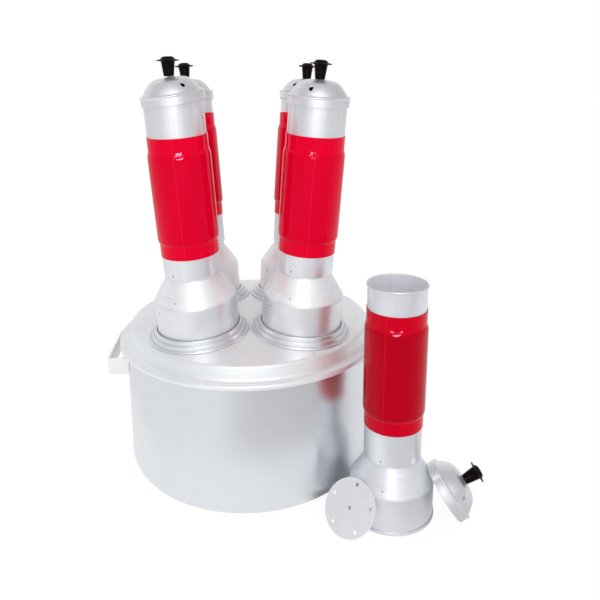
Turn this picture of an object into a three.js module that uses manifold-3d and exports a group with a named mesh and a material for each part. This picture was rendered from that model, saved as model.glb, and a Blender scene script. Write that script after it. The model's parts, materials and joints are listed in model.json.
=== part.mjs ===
// Puttu steamer: a water pot with a domed lid, four steaming tubes standing in collars on the lid,
// and a fifth tube beside the pot with its cap and its perforated disc leaning on its bell.
// Millimetres, +Z up, origin at the centre of the pot's base.

import * as THREE from 'three';
import { mergeVertices } from 'three/addons/utils/BufferGeometryUtils.js';
import Module from 'manifold-3d';

const wasm = await Module();
wasm.setup();

// Fits
const GAP = 0.3; // between pieces that touch
const SLIP = 0.6; // between pieces that slip over each other

// Facets round each kind of piece
const POT_SIDES = 24;
const DOME_STEPS = 3;
const TUBE_SIDES = 16;
const KNOB_SIDES = 8;
const RIVET_SIDES = 6;
const HOLE_SIDES = 5;

// Pot
const POT_RADIUS = 164;
const POT_HEIGHT = 175.5;
const POT_WALL = 1.5;
const POT_CORNER = 25; // rounding of the bottom edge
const POT_BEAD = 3.5; // how far the rolled rim stands out
const POT_BEAD_HEIGHT = 5;

// Handles
const STRAP_THICKNESS = 2.5;
const STRAP_WIDTH = 22;
const STRAP_TOP = 161; // height of the strap's upper edge
const HANDLE_LENGTH = 96;
const HANDLE_REACH = 20; // from the pot's wall to the bar's outer face
const HANDLE_BEND = 5; // outer radius of the two bends
const FLANGE_LENGTH = 16;
const RIVET_RADIUS = 2;
const RIVET_HEAD_RADIUS = 4;
const RIVET_HEAD_HEIGHT = 2;
const RIVET_CROWN = RIVET_HEAD_HEIGHT / RIVET_HEAD_RADIUS;
const RIVET_SPACING = 11;

// Lid
const LID_SHEET = 1.2;
const LID_OVERHANG = 5.5; // from the pot's rolled rim out to the lip's edge
const LID_DOME_HEIGHT = 33.5; // from the pot's rim to the top of the dome
const LID_DOME_RADIUS = 970;
const LID_DRAFT = 2.5; // how far the wall leans in
const LID_SHOULDER = 4; // rounding between dome and wall
const LID_GROOVE_WIDTH = 1.5; // the bead that drops into the pot's mouth
const LID_GROOVE_DEPTH = 2.5;
const LID_LIP_WIDTH = 7.5; // of the raised edge along the lip
const LID_LIP_RISE = 1.6;
const LID_CURL = 2; // radius of the lip's rolled edge

// Collars
const COLLAR_FLANGE = 11; // from the bell's seat out to the collar's edge
const COLLAR_SPACING = 1.6; // between neighbouring collars
const COLLAR_SHEET = 1.2;
const COLLAR_SEAT = 2; // height of the bell's seat above the dome
const COLLAR_SPIGOT = 7; // height of the spigot above the seat
const COLLAR_CRIMP = 2.4; // how far the neck is turned out under the lid
const COLLAR_RINGS = 3; // stepping up from the lid to the bell
const COLLAR_LIP = 2; // height of the outermost ring
const COLLAR_RIM = 7.3; // height of the innermost ring above the bell's seat
const COLLAR_DRAFT = 0.9; // how far each ring's side leans in

// Bells
const BELL_RADIUS = 50.2;
const BELL_SHEET = 1;
const BELL_CYLINDER = 44.4;
const BELL_CONE = 30;
const BELL_BEAD = 1.4;
const BELL_BEAD_HEIGHT = 4.6;
const BELL_NECK = 9; // how far the neck goes up into the tube

// Tubes
const TUBE_RADIUS = 34;
const TUBE_SHEET = 0.8;
const TUBE_LENGTH = 213;
const TUBE_CURL = 2.6; // how far the bottom edge turns in
const TUBE_BEAD = 1.2;
const TUBE_BEAD_HEIGHT = 3.2;

// Sleeves and pads
const SLEEVE_LENGTH = 142.8;
const SLEEVE_SHEET = 0.6;
const SLEEVE_ABOVE_BELL = 26.6; // from the tube's bottom to the sleeve, on the front pair
const SLEEVE_SHIFT = 14.5; // how much higher it sits on the other tubes
const PAD_THICKNESS = 1.4;
const PAD_INSET = 15; // from the sleeve's end to the pad's end
const PAD_TAPER = 5;

// Discs
const DISC_THICKNESS = 1.5;
const DISC_HOLE_RADIUS = 2.2;
const DISC_HOLE_CIRCLE = 26.5;
const DISC_HOLES = 5;
const DISC_TURN = -5; // degrees

// Caps
const CAP_SHEET = 0.8;
const CAP_SKIRT = 10.8;
const CAP_DOME = 17.6;
const CAP_STEP = 2.6; // from the skirt in to the dome
const CAP_RIDGE = 0.5; // raised line at the top of the skirt
const VENT_RADIUS = 2.8;
const VENT_CIRCLE = 27.5;
const VENT_TURNS = { front_left: -55, front_right: -115, rear_left: -70, rear_right: -130 };
const CAP_SHAPE = [[1, 0], [0.7, 0.74], [0.44, 0.95]]; // the dome, in shares of its radius and height
const CAP_TILTS = { front_left: 4.6 }; // degrees by which a cap sits up on one side of its tube

// Knobs and their screws
const KNOB_STEM_RADIUS = 5.8;
const KNOB_STEM_FLARE = 1.9;
const KNOB_STEM_HEIGHT = 16.2;
const KNOB_FLANGE_RADIUS = 12.6;
const KNOB_FLANGE_THICKNESS = 1.8;
const KNOB_FLANGE_EDGE = 0.6; // how much thinner the flange is at its edge
const KNOB_DOME_RADIUS = 8.4;
const KNOB_DOME_HEIGHT = 3.6;
const KNOB_TILTS = { front_left: 7 }; // degrees by which a knob leans on its cap
const SCREW_RADIUS = 2;
const SCREW_LENGTH = 11;
const SCREW_HEAD_RADIUS = 4.4;
const SCREW_HEAD_FACE = 3.1; // radius of the head's flat end
const SCREW_HEAD_HEIGHT = 2.4;

// Which way the spare tube lies from the pot, and its cap and disc from the tube, in degrees
const SPARE_TOWARDS = -41.93;
const SPARE_CLEAR = 8.87; // from the pot's wall to the bell's foot
const SPARE_CAP_TOWARDS = -3;
const SPARE_CAP_ASIDE = -14.6; // of the line from the spare tube's axis
const SPARE_CAP_LEAN = 34; // degrees from the vertical
const SPARE_CAP_TURN = 120;
const SPARE_DISC_TOWARDS = -135;
const SPARE_DISC_ASIDE = -15.5;
const SPARE_DISC_LEAN = 33.95;
const SPARE_DISC_TURN = 114;

// Sizes that follow from those above
const DISC_RADIUS = TUBE_RADIUS - TUBE_SHEET - GAP;
const TUBE_BOTTOM = BELL_CYLINDER + BELL_CONE + GAP;
const TUBE_TOP = TUBE_BOTTOM + TUBE_LENGTH;
const NECK_RADIUS = TUBE_RADIUS - TUBE_CURL - GAP;
const NECK_TOP = BELL_CYLINDER + BELL_CONE + BELL_NECK;
const DISC_REST = NECK_TOP + GAP;
const SKIRT_INNER = TUBE_RADIUS + TUBE_BEAD + SLIP - GAP;
const SKIRT_OUTER = SKIRT_INNER + CAP_SHEET;
const SPIGOT_OUTER = BELL_RADIUS - BELL_SHEET - SLIP;
const SPIGOT_INNER = SPIGOT_OUTER - COLLAR_SHEET;
const SCREW_HOLE = SCREW_RADIUS + GAP;
const RIVET_HOLE = RIVET_RADIUS + GAP;
const LID_WALL = POT_RADIUS - POT_WALL - SLIP - LID_SHEET - LID_GROOVE_WIDTH;
const DOME_TOP = POT_HEIGHT + LID_DOME_HEIGHT;
const LID_FLAT = LID_WALL - LID_DRAFT - LID_SHOULDER;
const LID_LIP_RADIUS = POT_RADIUS + POT_BEAD + LID_OVERHANG;
const COLLAR_RADIUS = BELL_RADIUS + BELL_BEAD + SLIP + COLLAR_FLANGE;
const TUBE_PITCH = 2 * COLLAR_RADIUS + COLLAR_SPACING; // between tubes on the lid, at the dome
const SPARE_REACH = POT_RADIUS + SPARE_CLEAR + BELL_RADIUS + BELL_BEAD;
const SPARE_TURN = THREE.MathUtils.degToRad(SPARE_TOWARDS);
const SPARE_X = SPARE_REACH * Math.cos(SPARE_TURN);
const SPARE_Y = SPARE_REACH * Math.sin(SPARE_TURN);
const WALL_SAG = POT_RADIUS * (1 - Math.cos(Math.PI / POT_SIDES)); // of the pot's flat facets
const DOME_SAG = (LID_FLAT / DOME_STEPS) ** 2 / (8 * LID_DOME_RADIUS); // of the dome's flat facets

// Finishes
const metal = (color, roughness) => new THREE.MeshStandardMaterial({ color, roughness, metalness: 1 });
const plain = (color, roughness) => new THREE.MeshStandardMaterial({ color, roughness, metalness: 0 });
const potMetal = metal(0xd0d4da, 0.34);
const lidMetal = metal(0xd6dade, 0.32);
const tubeMetal = metal(0xd2d6da, 0.3);
const discMetal = metal(0xd8dbe2, 0.42);
const handleMetal = metal(0xdfe2e6, 0.4);
const steel = metal(0xb4b8bc, 0.35);
const redSleeve = plain(0xe00028, 0.18);
const blackKnob = plain(0x14100f, 0.25);
const corkPad = plain(0xb08a5c, 0.9);

const steamer = new THREE.Group();
const UP = new THREE.Vector3(0, 0, 1);

// Joins a geometry's shared vertices and drops triangles that have no area.
function weld(geometry) {
  const bare = geometry.index ? geometry.toNonIndexed() : geometry.clone();
  bare.deleteAttribute('normal');
  bare.deleteAttribute('uv');
  const merged = mergeVertices(bare, 1e-4);
  const kept = [];
  const index = merged.index.array;
  for (let i = 0; i < index.length; i += 3) {
    const [a, b, c] = [index[i], index[i + 1], index[i + 2]];
    if (a !== b && b !== c && c !== a) kept.push(a, b, c);
  }
  merged.setIndex(kept);
  return merged;
}

function toSolid(geometry) {
  const welded = weld(geometry);
  return new wasm.Manifold(
    new wasm.Mesh({
      numProp: 3,
      vertProperties: new Float32Array(welded.attributes.position.array),
      triVerts: new Uint32Array(welded.index.array),
    }),
  );
}

function toGeometry(solid) {
  const mesh = solid.getMesh();
  const geometry = new THREE.BufferGeometry();
  geometry.setAttribute('position', new THREE.BufferAttribute(mesh.vertProperties.slice(), 3));
  geometry.setIndex(new THREE.BufferAttribute(mesh.triVerts.slice(), 1));
  return geometry;
}

function cut(geometry, tools) {
  return toGeometry(tools.reduce((solid, tool) => solid.subtract(toSolid(tool)), toSolid(geometry)));
}

// Turns a profile of [radius, height] points, listed up the outside and down the inside, round Z.
function revolve(profile, sides) {
  const closed = profile[0][0] > 0 || profile[profile.length - 1][0] > 0;
  const loop = closed ? [...profile, profile[0]] : profile;
  const points = loop.map(([radius, height]) => new THREE.Vector2(radius, height));
  return weld(new THREE.LatheGeometry(points, sides).rotateX(Math.PI / 2));
}

// Points of a round corner from one angle to another, in degrees, about a centre.
function corner(radius, height, bend, from, to, steps) {
  return Array.from({ length: steps + 1 }, (_, i) => {
    const angle = THREE.MathUtils.degToRad(from + ((to - from) * i) / steps);
    return [radius + bend * Math.cos(angle), height + bend * Math.sin(angle)];
  });
}

// Points of a rolled bead standing out from a wall, from its foot to its top.
function bead(radius, top, out, height) {
  return [
    [radius, top - height],
    [radius + out, top - height / 2],
    [radius, top],
  ];
}

// A round bar along Z, for cutting holes.
function drill(radius, from, to, sides) {
  return new THREE.CylinderGeometry(radius, radius, to - from, sides)
    .rotateX(Math.PI / 2)
    .translate(0, 0, (from + to) / 2);
}

function add(parent, name, geometry, material) {
  const mesh = new THREE.Mesh(geometry, material);
  mesh.name = name;
  parent.add(mesh);
  return mesh;
}

// A group whose own +Z points along an axis.
function standing(parent, position, axis) {
  const group = new THREE.Group();
  group.position.copy(position);
  group.quaternion.setFromUnitVectors(UP, axis);
  parent.add(group);
  return group;
}

// Height of the lid's dome over a point at this distance from the pot's axis.
function domeHeight(radius) {
  return DOME_TOP - LID_DOME_RADIUS + Math.sqrt(LID_DOME_RADIUS ** 2 - radius ** 2);
}

// The four places on the lid: each axis stands square on the dome, so the tubes lean outward.
function lidPlaces() {
  const half = TUBE_PITCH / 2;
  const places = [];
  for (const [side, x] of [['left', -half], ['right', half]]) {
    for (const [end, y] of [['front', -half], ['rear', half]]) {
      const point = new THREE.Vector3(x, y, domeHeight(Math.hypot(x, y)));
      const centre = new THREE.Vector3(0, 0, DOME_TOP - LID_DOME_RADIUS);
      const axis = point.clone().sub(centre).normalize();
      places.push({ name: `${end}_${side}`, end, point, axis });
    }
  }
  return places;
}

// Rivet places on a handle at +X: both flanges, two rivets one above the other.
function rivetPlaces() {
  const across = HANDLE_LENGTH / 2 - STRAP_THICKNESS - FLANGE_LENGTH / 2;
  const angle = Math.asin(across / POT_RADIUS);
  const middle = STRAP_TOP - STRAP_WIDTH / 2;
  const places = [];
  for (const turn of [-angle, angle]) {
    for (const height of [middle - RIVET_SPACING / 2, middle + RIVET_SPACING / 2]) {
      places.push({ turn, height });
    }
  }
  return places;
}

// A bar through the pot's wall at a rivet's place.
function rivetDrill({ turn, height }) {
  return drill(RIVET_HOLE, POT_RADIUS - 3 * POT_WALL, POT_RADIUS + 4 * STRAP_THICKNESS, RIVET_SIDES)
    .rotateY(Math.PI / 2)
    .rotateZ(turn)
    .translate(0, 0, height);
}

function makePot() {
  const inner = POT_RADIUS - POT_WALL;
  const flat = POT_RADIUS - POT_CORNER;
  const profile = [
    [0, 0],
    ...corner(flat, POT_CORNER, POT_CORNER, -90, 0, 5),
    ...bead(POT_RADIUS, POT_HEIGHT, POT_BEAD, POT_BEAD_HEIGHT),
    [inner, POT_HEIGHT - POT_WALL],
    ...corner(flat, POT_CORNER, POT_CORNER - POT_WALL, 0, -90, 2),
    [0, POT_WALL],
  ];
  const holes = rivetPlaces().flatMap((place) => [
    rivetDrill(place),
    rivetDrill(place).rotateZ(Math.PI),
  ]);
  add(steamer, 'pot_body', cut(revolve(profile, POT_SIDES), holes), potMetal);
}

// Plan outline of the strap: flanges along the wall, two legs and the bar, with round bends.
function strapOutline() {
  const wall = POT_RADIUS + GAP;
  const face = wall + STRAP_THICKNESS;
  const half = HANDLE_LENGTH / 2;
  const inside = half - STRAP_THICKNESS;
  const bar = POT_RADIUS + HANDLE_REACH;
  const bend = HANDLE_BEND;
  const innerBend = HANDLE_BEND - STRAP_THICKNESS;
  const tip = Math.asin((inside - FLANGE_LENGTH) / wall);
  const root = Math.asin(half / wall);
  const faceRoot = Math.asin(inside / face);
  const quarter = Math.PI / 2;
  const shape = new THREE.Shape();
  shape.absarc(0, 0, wall, -tip, -root, true);
  shape.lineTo(bar - bend, -half);
  shape.absarc(bar - bend, -half + bend, bend, -quarter, 0, false);
  shape.absarc(bar - bend, half - bend, bend, 0, quarter, false);
  shape.absarc(0, 0, wall, root, tip, true);
  shape.absarc(0, 0, face, tip, faceRoot, false);
  shape.absarc(bar - bend, half - bend, innerBend, quarter, 0, true);
  shape.absarc(bar - bend, -half + bend, innerBend, 0, -quarter, true);
  shape.absarc(0, 0, face, -faceRoot, -tip, false);
  return shape;
}

function makeHandles() {
  const settings = { depth: STRAP_WIDTH, bevelEnabled: false, curveSegments: 2 };
  const strap = new THREE.ExtrudeGeometry(strapOutline(), settings)
    .translate(0, 0, STRAP_TOP - STRAP_WIDTH);
  const geometry = cut(strap, rivetPlaces().map(rivetDrill));
  const shankEnd = -POT_WALL - WALL_SAG - GAP;
  const seat = STRAP_THICKNESS + 2 * GAP;
  const rivet = revolve(
    [
      [0, shankEnd - RIVET_HEAD_HEIGHT / 2],
      [RIVET_HEAD_RADIUS, shankEnd],
      [RIVET_RADIUS, shankEnd],
      [RIVET_RADIUS, seat],
      [RIVET_HEAD_RADIUS, seat],
      ...corner(0, seat, RIVET_HEAD_RADIUS, 0, 90, 2)
        .slice(1)
        .map(([radius, height]) => [radius, seat + (height - seat) * RIVET_CROWN]),
    ],
    RIVET_SIDES,
  ).rotateY(Math.PI / 2);
  for (const [side, turn] of [['right', 0], ['left', Math.PI]]) {
    const group = new THREE.Group();
    group.rotation.z = turn;
    steamer.add(group);
    add(group, `handle_${side}`, geometry.clone(), handleMetal);
    rivetPlaces().forEach((place, i) => {
      const arm = new THREE.Group();
      arm.rotation.z = place.turn;
      group.add(arm);
      const mesh = add(arm, `rivet_${side}_${i + 1}`, rivet.clone(), handleMetal);
      mesh.position.set(POT_RADIUS, 0, place.height);
    });
  }
}

// Lid section: dome, round shoulder, wall, the bead in the pot's mouth, and the lip with its raised
// edge and curl.
function makeLid(places) {
  const sheet = LID_SHEET;
  const shoulderCentre = domeHeight(LID_FLAT) - LID_SHOULDER;
  const lipUnder = POT_HEIGHT + GAP;
  const lipTop = lipUnder + sheet;
  const grooveFloor = lipTop - LID_GROOVE_DEPTH;
  const rise = LID_WALL + LID_GROOVE_WIDTH;
  const curl = LID_LIP_RADIUS - LID_CURL;
  const edge = LID_LIP_RADIUS - LID_LIP_WIDTH;
  const dome = Array.from({ length: DOME_STEPS }, (_, i) => {
    const radius = (LID_FLAT * i) / DOME_STEPS;
    return [radius, domeHeight(radius)];
  });
  const profile = [
    ...dome.map(([radius, height]) => [radius, height - sheet]),
    ...corner(LID_FLAT, shoulderCentre, LID_SHOULDER - sheet, 90, 0, 1),
    [LID_WALL - sheet, grooveFloor - sheet],
    [rise + sheet, grooveFloor - sheet],
    [rise + sheet, lipUnder],
    [edge + sheet, lipUnder],
    [curl - LID_CURL, lipUnder + LID_LIP_RISE],
    [curl, lipTop - 2 * LID_CURL],
    [LID_LIP_RADIUS, lipTop - LID_CURL],
    [curl, lipTop + LID_LIP_RISE],
    [edge, lipTop],
    [rise, lipTop],
    [rise, grooveFloor],
    [LID_WALL, grooveFloor],
    ...corner(LID_FLAT, shoulderCentre, LID_SHOULDER, 0, 90, 2),
    ...dome.reverse(),
  ];
  const reach = COLLAR_SPIGOT + COLLAR_SEAT;
  const holes = places.map(({ point, axis }) => {
    const turn = new THREE.Quaternion().setFromUnitVectors(UP, axis);
    return drill(SPIGOT_OUTER + GAP, -3 * reach, reach, TUBE_SIDES)
      .applyQuaternion(turn)
      .translate(point.x, point.y, point.z);
  });
  add(steamer, 'pot_lid', cut(revolve(profile, POT_SIDES), holes), lidMetal);
}

// Collar section, with the bell's seat at height 0: a neck crimped under the lid, a spigot inside the
// bell, and rings that step up round the bell's foot.
function makeCollar(group, name) {
  const under = (radius) => -COLLAR_SEAT - radius ** 2 / (2 * LID_DOME_RADIUS);
  const neckFoot = under(SPIGOT_OUTER) - LID_SHEET - DOME_SAG - GAP;
  const crimp = SPIGOT_OUTER + COLLAR_CRIMP;
  const seatEdge = BELL_RADIUS + BELL_BEAD + SLIP;
  const outerEdge = under(COLLAR_RADIUS) + GAP;
  const tread = (COLLAR_RADIUS - seatEdge) / COLLAR_RINGS;
  const riser = (COLLAR_RIM - COLLAR_LIP - outerEdge) / (COLLAR_RINGS - 1);
  const rings = Array.from({ length: COLLAR_RINGS }, (_, i) => {
    const radius = COLLAR_RADIUS - i * tread;
    const top = outerEdge + COLLAR_LIP + i * riser;
    return [[radius - COLLAR_DRAFT, top], [radius - tread, top]];
  });
  const profile = [
    [SPIGOT_INNER, neckFoot - COLLAR_SHEET],
    [crimp, neckFoot - COLLAR_SHEET],
    [crimp, neckFoot],
    [SPIGOT_OUTER, neckFoot],
    [SPIGOT_OUTER, under(SPIGOT_OUTER) + GAP],
    [COLLAR_RADIUS, outerEdge],
    ...rings.flat(),
    [seatEdge, -GAP],
    [SPIGOT_OUTER, -GAP],
    [SPIGOT_OUTER, COLLAR_SPIGOT],
    [SPIGOT_INNER, COLLAR_SPIGOT],
  ];
  add(group, name, revolve(profile, TUBE_SIDES), lidMetal);
}

// Bell section: beaded foot, cylinder, cone, and the neck that goes up into the tube.
function makeBell(group, name) {
  const inner = BELL_RADIUS - BELL_SHEET;
  const coneTop = BELL_CYLINDER + BELL_CONE;
  const profile = [
    [inner, 0],
    ...bead(BELL_RADIUS, BELL_BEAD_HEIGHT, BELL_BEAD, BELL_BEAD_HEIGHT),
    [BELL_RADIUS, BELL_CYLINDER],
    [NECK_RADIUS, coneTop],
    [NECK_RADIUS, NECK_TOP],
    [NECK_RADIUS - BELL_SHEET, NECK_TOP],
    [NECK_RADIUS - BELL_SHEET, coneTop],
    [inner, BELL_CYLINDER - BELL_SHEET / 2],
  ];
  add(group, name, revolve(profile, TUBE_SIDES), tubeMetal);
}

// Tube section: bottom edge turned in over the bell's neck, rolled bead round the mouth.
function makeTube(group, name) {
  const inner = TUBE_RADIUS - TUBE_SHEET;
  const turned = TUBE_RADIUS - TUBE_CURL;
  const profile = [
    ...corner(turned, TUBE_BOTTOM + TUBE_CURL, TUBE_CURL, -90, 0, 1),
    ...bead(TUBE_RADIUS, TUBE_TOP, TUBE_BEAD, TUBE_BEAD_HEIGHT),
    [inner, TUBE_TOP - TUBE_SHEET],
    [inner, TUBE_BOTTOM + TUBE_CURL],
    [turned, TUBE_BOTTOM + TUBE_SHEET],
  ];
  add(group, name, revolve(profile, TUBE_SIDES), tubeMetal);
}

// Pad and sleeve: the sleeve lies on the tube at its ends and over the pad between them.
function makeSleeve(group, name, lift) {
  const foot = TUBE_BOTTOM + SLEEVE_ABOVE_BELL + lift;
  const head = foot + SLEEVE_LENGTH;
  const under = TUBE_RADIUS + GAP;
  const over = under + PAD_THICKNESS;
  const padFoot = foot + PAD_INSET;
  const padHead = head - PAD_INSET;
  const pad = [
    [under, padFoot],
    [over, padFoot + PAD_TAPER],
    [over, padHead - PAD_TAPER],
    [under, padHead],
  ];
  const raised = over + GAP;
  const sleeve = [
    [under, foot],
    [under + SLEEVE_SHEET, foot],
    [under + SLEEVE_SHEET, padFoot - GAP],
    [raised + SLEEVE_SHEET, padFoot + PAD_TAPER - GAP],
    [raised + SLEEVE_SHEET, padHead - PAD_TAPER + GAP],
    [under + SLEEVE_SHEET, padHead + GAP],
    [under + SLEEVE_SHEET, head],
    [under, head],
    [under, padHead + 2 * GAP],
    [raised, padHead - PAD_TAPER + GAP],
    [raised, padFoot + PAD_TAPER - GAP],
    [under, padFoot - 2 * GAP],
  ];
  add(group, `pad_${name}`, revolve(pad, TUBE_SIDES), corkPad);
  add(group, `sleeve_${name}`, revolve(sleeve, TUBE_SIDES), redSleeve);
}

// Disc lying flat from height 0: one hole in the middle and a ring of holes.
function makeDisc(group, name) {
  const start = Math.PI / 2; // its facets face the tube's facets
  const outline = new THREE.Shape().absarc(0, 0, DISC_RADIUS, start, start + 2 * Math.PI, false);
  const hole = (x, y) => {
    const points = corner(x, y, DISC_HOLE_RADIUS, 360, 0, HOLE_SIDES);
    return new THREE.Path(points.map(([px, py]) => new THREE.Vector2(px, py)));
  };
  outline.holes.push(hole(0, 0));
  for (let i = 0; i < DISC_HOLES; i += 1) {
    const angle = THREE.MathUtils.degToRad(DISC_TURN) + (2 * Math.PI * i) / DISC_HOLES;
    outline.holes.push(hole(DISC_HOLE_CIRCLE * Math.cos(angle), DISC_HOLE_CIRCLE * Math.sin(angle)));
  }
  const settings = { depth: DISC_THICKNESS, bevelEnabled: false, curveSegments: TUBE_SIDES / 2 };
  return add(group, name, weld(new THREE.ExtrudeGeometry(outline, settings)), discMetal);
}

// Cap with its knob and screw. Height 0 is the skirt's lower edge.
function makeCap(group, name, ventTurn) {
  const ledge = CAP_SKIRT + GAP;
  const domeRadius = SKIRT_OUTER - CAP_STEP;
  const top = CAP_SKIRT + CAP_SHEET + CAP_DOME;
  const dome = (sheet) => CAP_SHAPE.map(([across, up]) => [
    (domeRadius - sheet) * across,
    CAP_SKIRT + CAP_SHEET + (CAP_DOME - sheet) * up,
  ]);
  const profile = [
    [SKIRT_INNER, 0],
    [SKIRT_OUTER, 0],
    [SKIRT_OUTER + CAP_RIDGE, CAP_SKIRT],
    ...dome(0),
    [SCREW_HOLE, top],
    [SCREW_HOLE, top - CAP_SHEET],
    [SCREW_HEAD_RADIUS + GAP, top - CAP_SHEET],
    ...dome(CAP_SHEET).slice(1).reverse(),
    [domeRadius - CAP_SHEET, ledge],
    [SKIRT_INNER, ledge - GAP],
  ];
  const vent = drill(VENT_RADIUS, CAP_SKIRT + 2 * CAP_SHEET, 2 * top, RIVET_SIDES)
    .translate(VENT_CIRCLE, 0, 0)
    .rotateZ(THREE.MathUtils.degToRad(ventTurn));
  add(group, `cap_${name}`, cut(revolve(profile, TUBE_SIDES), [vent]), tubeMetal);
  makeKnob(group, name, top);
}

// Knob and screw, which clamp the cap's sheet between them and may lean together.
function makeKnob(group, name, capTop) {
  const tilt = THREE.MathUtils.degToRad(KNOB_TILTS[name] ?? 0);
  const clamped = new THREE.Group();
  clamped.position.z = capTop - CAP_SHEET / 2;
  clamped.rotation.y = tilt;
  group.add(clamped);
  const clear = CAP_SHEET / 2 + GAP;
  const foot = clear + KNOB_STEM_RADIUS * Math.sin(tilt);
  const flange = foot + KNOB_STEM_HEIGHT;
  const domeFoot = flange + KNOB_FLANGE_THICKNESS;
  const bore = SCREW_LENGTH - CAP_SHEET;
  const knob = [
    [SCREW_HOLE, foot],
    [KNOB_STEM_RADIUS, foot],
    [KNOB_STEM_RADIUS + KNOB_STEM_FLARE, flange],
    [KNOB_FLANGE_RADIUS, flange + KNOB_FLANGE_EDGE],
    [KNOB_FLANGE_RADIUS, domeFoot],
    ...corner(0, 0, 1, 0, 90, 2).map(([across, up]) => [
      KNOB_DOME_RADIUS * across,
      domeFoot + KNOB_DOME_HEIGHT * up,
    ]),
    [0, foot + bore],
    [SCREW_HOLE, foot + bore],
  ];
  add(clamped, `knob_${name}`, revolve(knob, KNOB_SIDES), blackKnob);
  const under = -clear - SCREW_HEAD_RADIUS * Math.sin(tilt);
  const screw = [
    [0, under - SCREW_HEAD_HEIGHT],
    [SCREW_HEAD_FACE, under - SCREW_HEAD_HEIGHT],
    [SCREW_HEAD_RADIUS, under],
    [SCREW_RADIUS, under],
    [SCREW_RADIUS, under + SCREW_LENGTH],
    [0, under + SCREW_LENGTH],
  ];
  add(clamped, `screw_${name}`, revolve(screw, RIVET_SIDES), steel);
}

// Bell, tube, pad and sleeve of one steaming tube, with the bell's foot at height 0.
function makeSteamTube(group, name, lift) {
  makeBell(group, `bell_${name}`);
  makeTube(group, `tube_${name}`);
  makeSleeve(group, name, lift);
}

// Distance from the spare tube's axis out to the lower edge of a round piece that leans with its rim
// at rest on the bell.
function leanReach(radius, aside, lean) {
  const slope = (BELL_RADIUS - NECK_RADIUS) / BELL_CONE;
  const reaches = corner(0, 0, radius, 0, 360, TUBE_SIDES).map(([down, across]) => {
    const rise = radius - down;
    const above = Math.max(0, rise * Math.cos(lean) - BELL_CYLINDER);
    const clear = BELL_RADIUS - slope * above + GAP;
    const width = Math.min(clear, Math.abs(aside + across));
    return Math.sqrt(clear ** 2 - width ** 2) + rise * Math.sin(lean);
  });
  return Math.max(...reaches);
}

// A group on the floor beside the spare tube whose +X points away from the tube, tipped back by an
// angle, with its origin at the foot's lower edge.
function leaning(towards, foot, aside, angle) {
  const arm = new THREE.Group();
  arm.position.set(SPARE_X, SPARE_Y, 0);
  arm.rotation.z = THREE.MathUtils.degToRad(towards);
  const tipped = new THREE.Group();
  tipped.position.set(foot, aside, 0);
  tipped.rotation.y = Math.PI / 2 - angle;
  arm.add(tipped);
  steamer.add(arm);
  return tipped;
}

const places = lidPlaces();
makePot();
makeHandles();
makeLid(places);

for (const { name, end, point, axis } of places) {
  const seat = point.clone().addScaledVector(axis, COLLAR_SEAT);
  const group = standing(steamer, seat, axis);
  makeCollar(group, `collar_${name}`);
  makeSteamTube(group, name, end === 'rear' ? SLEEVE_SHIFT : 0);
  makeDisc(group, `disc_${name}`).position.z = DISC_REST;
  const hinge = new THREE.Group();
  hinge.position.set(-TUBE_RADIUS, 0, TUBE_TOP + GAP);
  hinge.rotation.y = -THREE.MathUtils.degToRad(CAP_TILTS[name] ?? 0);
  group.add(hinge);
  const cap = new THREE.Group();
  cap.position.set(TUBE_RADIUS, 0, -CAP_SKIRT);
  hinge.add(cap);
  makeCap(cap, name, VENT_TURNS[name]);
}

const spare = new THREE.Group();
spare.position.set(SPARE_X, SPARE_Y, 0);
steamer.add(spare);
makeSteamTube(spare, 'spare', SLEEVE_SHIFT);

const capLean = THREE.MathUtils.degToRad(SPARE_CAP_LEAN);
const spareCap = new THREE.Group();
spareCap.position.x = -SKIRT_OUTER;
const capFoot = leanReach(SKIRT_OUTER, SPARE_CAP_ASIDE, capLean);
leaning(SPARE_CAP_TOWARDS, capFoot, SPARE_CAP_ASIDE, capLean).add(spareCap);
makeCap(spareCap, 'spare', SPARE_CAP_TURN);

const discLean = THREE.MathUtils.degToRad(SPARE_DISC_LEAN);
const edgeReach = BELL_RADIUS + GAP + BELL_CYLINDER * Math.tan(discLean);
const discFoot = Math.max(edgeReach, leanReach(DISC_RADIUS, SPARE_DISC_ASIDE, discLean));
const spareDisc = new THREE.Group();
spareDisc.position.set(-DISC_RADIUS, 0, GAP);
spareDisc.rotation.z = THREE.MathUtils.degToRad(SPARE_DISC_TURN);
leaning(SPARE_DISC_TOWARDS, discFoot, SPARE_DISC_ASIDE, discLean).add(spareDisc);
makeDisc(spareDisc, 'disc_spare');

export default steamer;
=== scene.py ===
import json
import math

import bmesh
import bpy
from mathutils import Matrix, Vector


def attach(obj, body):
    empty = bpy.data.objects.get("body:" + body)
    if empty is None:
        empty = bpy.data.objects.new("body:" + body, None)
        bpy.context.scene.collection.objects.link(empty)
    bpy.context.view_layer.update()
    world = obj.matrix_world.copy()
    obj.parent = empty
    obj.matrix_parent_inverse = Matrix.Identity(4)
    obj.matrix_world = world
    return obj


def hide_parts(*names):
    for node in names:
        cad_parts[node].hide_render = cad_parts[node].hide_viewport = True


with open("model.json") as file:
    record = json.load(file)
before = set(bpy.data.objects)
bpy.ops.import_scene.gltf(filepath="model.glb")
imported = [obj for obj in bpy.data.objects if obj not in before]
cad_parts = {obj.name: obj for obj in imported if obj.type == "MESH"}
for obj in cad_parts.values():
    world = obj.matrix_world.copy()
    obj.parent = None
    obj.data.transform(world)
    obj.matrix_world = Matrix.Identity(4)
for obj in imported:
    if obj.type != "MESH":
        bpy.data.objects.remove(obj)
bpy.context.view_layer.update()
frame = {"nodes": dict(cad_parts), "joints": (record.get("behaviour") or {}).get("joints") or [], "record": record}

# Sizes in millimetres, as the steamer is made
MM = 0.001
GAP = 0.3  # left between two pieces that fit together

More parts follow.
